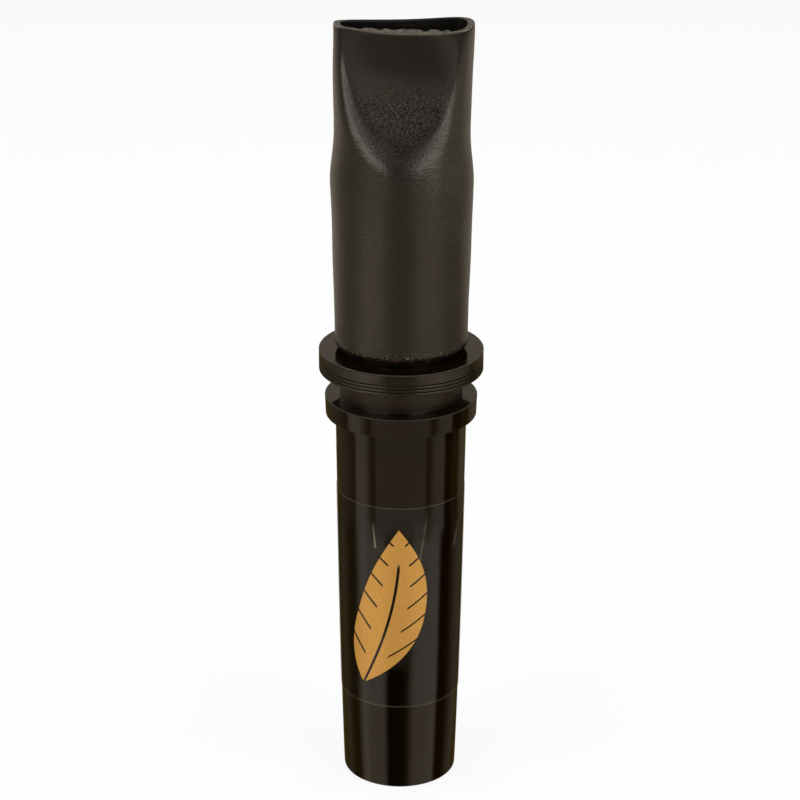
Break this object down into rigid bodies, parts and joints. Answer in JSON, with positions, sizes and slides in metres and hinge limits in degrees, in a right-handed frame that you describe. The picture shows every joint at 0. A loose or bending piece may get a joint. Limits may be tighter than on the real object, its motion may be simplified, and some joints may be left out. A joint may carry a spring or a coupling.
{
  "type": "bird call",
  "caption": "Hand-blown bird call: a tapered barrel with a lanyard groove, and a pull-out reed mouthpiece under a soft sleeve pressed flat at the mouth.",
  "frame": {"origin": "centre of the barrel's sounding end, on its lower rim", "axes": "+Z along the call from the sounding end to the mouth, -Y towards the front of the flattened mouth, where the hollow is"},
  "size_m": [0.0286, 0.0286, 0.138],
  "materials": {
    "barrel_plastic": "polished, brown-black",
    "label_film": null,
    "core_plastic": "moulded, black",
    "seal_rubber": "smooth",
    "board_plastic": "sawn and sanded",
    "reed_film": "translucent film",
    "wedge_plastic": "moulded",
    "sleeve_rubber": "matt, pebbled in the hollow and finely wrinkled below it"
  },
  "bodies": {
    "barrel": {"barrel": "barrel_plastic", "clear_label": "label_film"},
    "seals": {"o_ring_upper": "seal_rubber", "o_ring_lower": "seal_rubber"},
    "mouthpiece": {"mouthpiece_core": "core_plastic", "tone_board": "board_plastic", "reed_wedge": "wedge_plastic", "mouth_sleeve": "sleeve_rubber"},
    "reed": {"reed": "reed_film"}
  },
  "joints": [
    {"name": "mouthpiece_pull", "type": "slide", "parent": "barrel", "child": "seals", "axis": [0, 0, 1], "range_m": [0, 0.02]},
    {"name": "mouthpiece_turn", "type": "hinge", "parent": "seals", "child": "mouthpiece", "pos_m": [0, 0, 0.0816], "axis": [0, 0, 1], "continuous": true},
    {"name": "reed_flex", "type": "hinge", "parent": "mouthpiece", "child": "reed", "pos_m": [0.00011, 0.00109, 0.108], "axis": [0.9945, -0.1045, 0], "range_deg": [0, 2.2], "stiffness_Nm_per_rad": 0.02}
  ]
}
